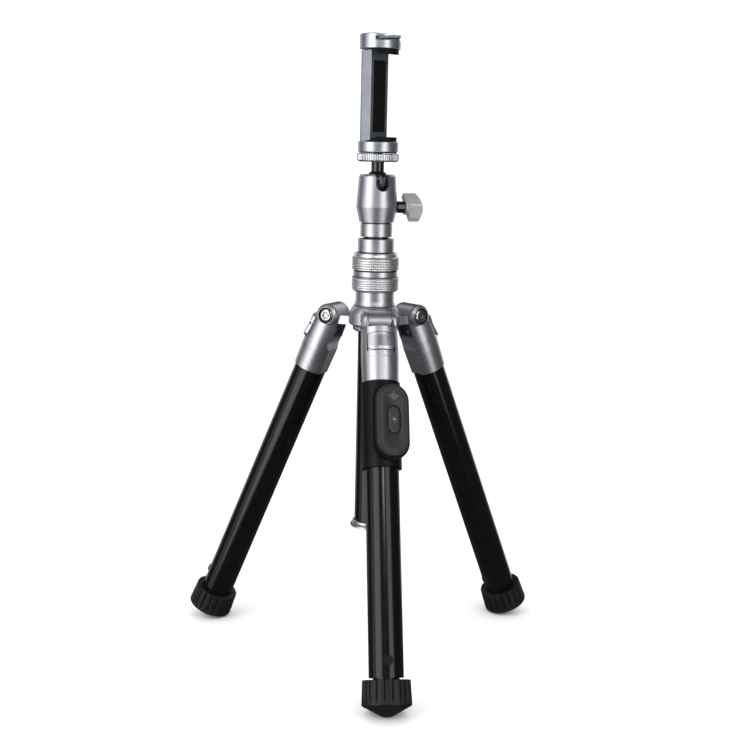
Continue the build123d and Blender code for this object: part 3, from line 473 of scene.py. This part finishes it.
def clamp_ring():
    """The fluted ring, its grip between two plain bands."""
    node = "clamp_lock_ring"
    low, high = extent(node, COLUMN)
    radius, bottom, top = high.x, low.z, high.z
    grip_low, grip_high = bottom + 1.2, top - 0.7

    def flutes(angles, height):
        if not grip_low - 0.01 <= height <= grip_high + 0.01:
            return 0 * angles
        return -CLAMP_FLUTE * (1 - ease(0.55, wave(angles * CLAMP_FLUTES / (2 * pi))))

    under = bottom + STEM_CLEARANCE
    profile = [(CLAMP_BORE, under), (radius - 2.2, under), (radius - 1.4, bottom + 0.25)]
    profile += [(radius - 0.25, grip_low - 0.1)]
    profile += between((radius, grip_low), (radius, grip_high), 6)
    profile += [(radius, grip_high), (radius - 0.3, grip_high + 0.15), (radius - 0.9, top)]
    profile += [(CLAMP_BORE, top)]
    bm = turned(profile, CLAMP_FLUTES * 8, flutes, loop=True)
    stands_for(piece_of(node + "_fluted", bm, COLUMN, "knurled_silver", 50), node)


clamp_ring()


# ---- Rubber feet
FOOT_RIBS = 18
FOOT_GROOVE = 1.1
FOOT_WALL = 15.4                               # height of the ribbed wall above the cone
FOOT_HOLLOW = 7                                # depth of the hollow inside the tube's end
HOLLOW_SHARE = 0.86                            # the hollow's radius over the tube's


def foot(leg):
    """A rubber foot, hollow at its top, with a ribbed wall and a blunt cone."""
    node = f"{leg}_leg_foot"
    low, high = extent(node, LEG_FRAME[leg])
    wide, top, tip = high.y, high.z, low.z
    corner = top - FOOT_WALL

    def ribs(angles, height):
        groove = 1 - ease(0.3, wave(angles * FOOT_RIBS / (2 * pi)))
        fade = ease(1.6, height - corner - 0.2)
        return -FOOT_GROOVE * groove * groove * (3 - 2 * groove) * fade

    bore = extent(f"{leg}_leg_extension", LEG_FRAME[leg])[1].y * HOLLOW_SHARE
    wall = between((wide - 0.1, corner + 0.2), (wide - 0.7, top - 1.0), 10)
    profile = [(bore, top - FOOT_HOLLOW), (bore, top - 0.4), (bore + 0.4, top)]
    profile += rounded([(wide - 3.5, top), (wide - 0.7, top), (wide - 0.7, top - 1.5)], 1.0)
    profile += wall[::-1]
    profile += rounded([(wide - 0.1, corner + 0.2), (wide + 0.05, corner - 0.9),
                        (wide - 2.0, corner - 2.2)], 0.9)
    profile += rounded([(wide - 4.0, corner - 3.2), (3.1, tip + 0.1), (0.4, tip)], 0.8) + [(0, tip)]
    profile += [(0, top - FOOT_HOLLOW)]
    bm = turned(profile, FOOT_RIBS * 12, ribs)
    stands_for(piece_of(node + "_ribbed", bm, LEG_FRAME[leg], "foot_rubber", 50), node)


# ---- Pivot bolts
HEX_FLAT = 2.25                                # from the bolt's axis to a flat of its socket


def pivot_bolt(leg):
    """A shank with a domed, hex-socketed head in each ear."""
    node = f"{leg}_leg_pivot_bolt"
    place = LEG_FRAME[leg]
    high = extent(node, place)[1]
    outer, radius = high.y, high.x
    count = 48
    angles = np.arange(count) * 2 * pi / count
    hexagon = 1 / np.cos((angles + pi / 6) % (pi / 3) - pi / 6)

    def row(radius, across):
        return np.column_stack((radius * np.cos(angles), np.full(count, across), radius * np.sin(angles)))

    def head(side):
        flats = HEX_FLAT * hexagon
        dome = ((2.5, 3.3), (radius - 0.2, 3.3), (radius, 3.1), (radius, 1.5), (radius - 0.3, 0.95),
                (radius - 0.9, 0.45), (radius - 1.7, 0.12), (3.2, 0))
        rows = [row(r, side * (outer - drop)) for r, drop in dome]
        rows += [row(flats * 1.08, side * (outer - 0.1)), row(flats, side * (outer - 0.4))]
        rows += [row(flats, side * (outer - 1.5)), row(flats * 0.4, side * (outer - 1.75))]
        rows += [row(flats * 0, side * (outer - 1.85))]
        return rows

    bm = skin(head(-1)[::-1] + head(1))
    stands_for(piece_of(node + "_hex", bm, place, "polished_bolt", 40), node)


for leg in LEGS:
    foot(leg)
    pivot_bolt(leg)


# ---- Wing of the ball head's knob
WING_TURN = -37                                # degrees about the knob's axis
WING_RIDGE = 3.2                               # from the wing's middle plane to its crest
WING_DEPTH = 11.9                              # along the knob's axis
CREST_RADIUS = 0.3
CREST_SINK = 0.12                              # how deep the crest's middle lies in the wing
CREST_GAP = 0.2                                # from the crest's end to the wing's


def wing_crest_highlights():
    """A thin rod along the middle of each face, in light grey: a painted highlight on the crest."""
    outer_end = extent("knob_wing", KNOB)[1].x
    length = WING_DEPTH - CREST_GAP
    turn = Matrix.Rotation(radians(WING_TURN), 4, "X")
    along = Matrix.Rotation(pi / 2, 4, "Y")
    for name, side in (("near", -1), ("far", 1)):
        start = Matrix.Translation((outer_end - WING_DEPTH, side * (WING_RIDGE - CREST_SINK), 0))
        place = KNOB @ turn @ start @ along
        bm = turned([(0, 0), (CREST_RADIUS, 0), (CREST_RADIUS, length), (0, length)], 8)
        # light grey rod: a painted highlight along the crest
        crest = piece_of(f"knob_wing_painted_crest_{name}", bm, place, "wing_grey", 40, CREST_HIGHLIGHT_PAINT)
        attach(crest, NODES["knob_wing"]["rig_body"])


wing_crest_highlights()


# ---- Remote
REMOTE_CORNER = 11.0
REMOTE_WALL = 1.2
KEY_WIDTH, KEY_LENGTH = 4.4, 9.4               # half of each
ICON_HEIGHT = 16.0                             # along the leg, from the remote's middle
LAMP_HEIGHT = -18.0


def remote_shell(half_width, half_length, split, face):
    """The front shell, with a groove round its face and an opening for the key, and a raised
    line in lighter grey beside the groove: a painted highlight along the bezel."""
    def ring(inset, depth):
        return pill_row(half_width - inset, half_length - inset, REMOTE_CORNER - inset, depth)

    def around_key(gap, depth):
        width = KEY_WIDTH + gap
        return pill_row(width, KEY_LENGTH + gap, width, depth)

    outside = rounded([(0, split), (0, face - 1.2), (0.35, face - 0.75), (1.7, face - 0.1),
                       (2.2, face - 0.1)], 0.25, 3)
    groove = rounded([(2.2, face - 0.1), (2.35, face - 0.38), (2.55, face - 0.38), (2.75, face),
                      (4.0, face)], 0.1, 2)
    rows = [ring(inset, depth) for inset, depth in outside + groove]
    rows += [around_key(gap, depth) for gap, depth in ((0.85, face), (0.6, face - 0.15), (0.5, face - 0.5))]
    rows += [around_key(0.5, face - 1.2), ring(REMOTE_WALL, face - 1.2), ring(REMOTE_WALL, split)]
    shell = piece_of("remote_front_shell_bezelled", skin(rows, loop=True), REMOTE, "remote_shell", 40)
    stands_for(shell, "remote_front_shell")
    # a thin raised line in lighter grey: a painted highlight along the bezel
    line = [(2.75, face - 0.05), (2.75, face + 0.05), (3.05, face + 0.05), (3.05, face - 0.05)]
    highlight_line = skin([ring(inset, depth) for inset, depth in line], loop=True)
    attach(piece_of("remote_bezel_highlight_line", highlight_line, REMOTE, "remote_shell", 40, BEZEL_HIGHLIGHT_PAINT), "remote")


def remote_key(under, top):
    """The key: a flange that stays inside the shell, and a crown with a shallow dish."""
    def key_row(inset, depth):
        width = KEY_WIDTH - inset
        return pill_row(width, KEY_LENGTH - inset, width, depth)

    flange_top = under + 0.7
    flange = [pill_row(KEY_WIDTH + 1.5, KEY_LENGTH + 1.5, KEY_WIDTH + 1.4, depth)
              for depth in (under, flange_top)]
    crown = rounded([(0, flange_top), (0, top - 0.55), (0.75, top - 0.06), (2.0, top)], 0.35, 4)
    rows = flange + [key_row(inset, depth) for inset, depth in crown]
    rows += [key_row(3.2, top - 0.02), key_row(4.2, top - 0.05)]
    key = piece_of("remote_button_cap", skin(rows), REMOTE, "remote_key_grey", 40)
    stands_for(key, "remote_button")


def mark(name, y, z, radius, hole, depth, raised, material, on_key=False):
    """A small printed or moulded mark on the remote's face or its key: a ring, or a dot where
    `hole` is 0."""
    body, slot = ("remote_key", "remote_key_grey") if on_key else ("remote", "remote_shell")
    profile = [(hole, depth - 0.05), (radius, depth - 0.05), (radius, depth + raised),
               (hole, depth + raised)]
    out = Matrix.Translation((0, y, z)) @ Matrix.Rotation(pi / 2, 4, "Y")
    bm = turned(profile, 32, loop=hole > 0)
    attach(piece_of(name, bm, REMOTE @ out, slot, 40, material), body)


def remote_marks(face, key_top):
    """A dot in a ring on the key, a plain icon of rings and dots above it, and a lamp below."""
    mark("remote_button_dot", 0, 0, 0.42, 0, key_top - 0.05, 0.06, MARK_WHITE, on_key=True)
    mark("remote_button_ring", 0, 0, 1.75, 1.55, key_top - 0.04, 0.06, MARK_GREY, on_key=True)
    for name, radius, hole in (("outer", 2.3, 2.0), ("inner", 1.35, 0.95), ("centre", 0.4, 0)):
        mark(f"remote_icon_{name}", 0, ICON_HEIGHT, radius, hole, face, 0.04, MARK_GREY)
    for name, y, z in (("top", 0, 3.5), ("left", -3.3, 0.6), ("right", 3.3, 0.6)):
        mark(f"remote_icon_{name}", y, ICON_HEIGHT + z, 0.45, 0, face, 0.04, MARK_GREY)
    mark("remote_lamp", 0, LAMP_HEIGHT, 0.45, 0, face, 0.02, MATERIALS["black_rubber"])


def remote_pieces():
    low, high = extent("remote_front_shell", REMOTE)
    key_low, key_high = extent("remote_button", REMOTE)
    remote_shell(high.y, high.z, low.x, high.x)
    remote_key(key_low.x, key_high.x)
    remote_marks(high.x, key_high.x)


remote_pieces()


# ---- Clamp springs
WIRE = 0.42                                    # radius
COIL_TURNS = 15
COIL_STEPS = 20                                # points per turn
WIRE_SIDES = 10


def coil(middle, radius, length):
    """One compression spring upward from `middle`, wound by a formula, with a closed turn at each end."""
    closed = 2.5 * WIRE
    rise = length - 2 * WIRE
    shares = (0, 1.5 / COIL_TURNS, 1 - 1.5 / COIL_TURNS, 1)
    heights = (0, closed, rise - closed, rise)
    rows = []
    for k in range(COIL_TURNS * COIL_STEPS + 1):
        share = k / (COIL_TURNS * COIL_STEPS)
        angle = share * COIL_TURNS * 2 * pi
        outward = Vector((cos(angle), sin(angle), 0))
        height = WIRE + np.interp(share, shares, heights)
        centre = middle + outward * (radius - WIRE) + UP * height
        rows.append([centre + (outward * cos(a) + UP * sin(a)) * WIRE
                     for a in (2 * pi * i / WIRE_SIDES for i in range(WIRE_SIDES))])
    return skin(rows)


def clamp_coils():
    """The two springs round the guide rods, as one piece."""
    node = "clamp_springs"
    low, high = extent(node, CLAMP)
    middle_x = (low.x + high.x) / 2
    radius = (high.x - low.x) / 2
    bm = bmesh.new()
    for side in (low.y + radius, high.y - radius):
        part = coil(Vector((middle_x, side, low.z)), radius, high.z - low.z)
        spare = bpy.data.meshes.new("spare")
        part.to_mesh(spare)
        bm.from_mesh(spare)
        bpy.data.meshes.remove(spare)
        part.free()
    springs = piece_of(node + "_wound", bm, CLAMP, "bright_steel", 60)
    stands_for(springs, node)
    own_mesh(springs)


clamp_coils()


# ---- Camera, floor and light, in metres
CAMERA_REACH = 0.96875                         # horizontally from the column
CAMERA_AZIMUTH = radians(-5.81)
CAMERA_RISE = 0.11622                          # above the leg pivots
CAMERA_YAW = radians(-0.085)
CAMERA_PITCH = radians(-9.30)
CAMERA_ROLL = radians(1.30)
CAMERA_LENS = 64.8
SURROUNDING = 1.15                             # brightness of the white surrounding
MIRRORED = 0.08                                # and as shiny surfaces see it
FLOOR_REACH = 6.0
LIGHT_HEIGHT = 0.7
LIGHT_TALL = 2.1


def camera():
    """Looks at the stick from the photo's angle, a little left of the front, and rolled with it."""
    data = bpy.data.cameras.new("camera")
    data.lens = CAMERA_LENS
    data.sensor_width = 36
    eye = Vector((sin(CAMERA_AZIMUTH), -cos(CAMERA_AZIMUTH), 0)) * CAMERA_REACH
    eye.z = COLUMN.translation.z + CAMERA_RISE
    heading = atan2(-eye.y, -eye.x) + CAMERA_YAW
    flat = Vector((cos(heading), sin(heading), 0))
    forward = flat * cos(CAMERA_PITCH) + UP * sin(CAMERA_PITCH)
    right = forward.cross(UP).normalized()
    above = right.cross(forward)
    side = right * cos(CAMERA_ROLL) + above * sin(CAMERA_ROLL)
    top = above * cos(CAMERA_ROLL) - right * sin(CAMERA_ROLL)
    item = bpy.data.objects.new("camera", data)
    item.matrix_world = Matrix.Translation(eye) @ Matrix((side, top, -forward)).transposed().to_4x4()
    bpy.context.scene.collection.objects.link(item)
    bpy.context.scene.camera = item


def softbox(name, azimuth, height, distance, size, power):
    """A rectangular light aimed level at the stick, its azimuth in degrees from the camera's."""
    data = bpy.data.lights.new(name, "AREA")
    data.shape = "RECTANGLE"
    data.size, data.size_y = size
    data.energy = power
    angle = CAMERA_AZIMUTH + radians(azimuth)
    spot = Vector((sin(angle) * distance, -cos(angle) * distance, height))
    item = bpy.data.objects.new(name, data)
    item.location = spot
    item.rotation_euler = Vector((-spot.x, -spot.y, 0)).to_track_quat("-Z", "Y").to_euler()
    bpy.context.scene.collection.objects.link(item)


def world(brightness, mirrored):
    """An even white surrounding; shiny surfaces see it dimmed, as in a studio with dark corners."""
    surrounding = bpy.data.worlds.new("studio")
    surrounding.use_nodes = True
    nodes, links = surrounding.node_tree.nodes, surrounding.node_tree.links
    backdrop = nodes["Background"]
    path = nodes.new("ShaderNodeLightPath")
    strength = nodes.new("ShaderNodeMapRange")
    strength.inputs["To Min"].default_value = brightness
    strength.inputs["To Max"].default_value = mirrored
    links.new(path.outputs["Is Glossy Ray"], strength.inputs["Value"])
    links.new(strength.outputs["Result"], backdrop.inputs["Strength"])
    backdrop.inputs["Color"].default_value = (1, 1, 1, 1)
    bpy.context.scene.world = surrounding


def floor():
    """A plain pale sheet that shiny surfaces don't mirror."""
    mesh = bpy.data.meshes.new("floor")
    corners = [(x * FLOOR_REACH, y * FLOOR_REACH, 0) for x, y in ((-1, -1), (1, -1), (1, 1), (-1, 1))]
    mesh.from_pydata(corners, [], [(0, 1, 2, 3)])
    ground = bpy.data.objects.new("floor", mesh)
    paint = bpy.data.materials.new("floor_paint")
    paint.use_nodes = True
    shader = paint.node_tree.nodes["Principled BSDF"]
    shader.inputs["Base Color"].default_value = (0.9, 0.9, 0.9, 1)
    shader.inputs["Roughness"].default_value = 0.9
    shader.inputs["Specular IOR Level"].default_value = 0
    mesh.materials.append(paint)
    ground.visible_glossy = False
    bpy.context.scene.collection.objects.link(ground)


camera()
world(SURROUNDING, MIRRORED)
floor()
softbox("key_left", -47, LIGHT_HEIGHT, 1.3, (0.9, LIGHT_TALL), 12.5)
softbox("side_left", -79, LIGHT_HEIGHT, 1.4, (0.5, LIGHT_TALL), 2.0)
softbox("key_right", 38, LIGHT_HEIGHT, 1.3, (0.65, LIGHT_TALL), 7.8)
softbox("front_fill", -8, LIGHT_HEIGHT, 1.5, (0.6, LIGHT_TALL), 0.5)
softbox("front_spot", 6, 0.85, 1.1, (0.2, 0.2), 0.9)
softbox("back_left", -142, LIGHT_HEIGHT, 1.6, (0.8, LIGHT_TALL), 3)
softbox("back_right", 150, LIGHT_HEIGHT, 1.6, (0.8, LIGHT_TALL), 4)
bpy.context.scene.view_settings.view_transform = "Standard"
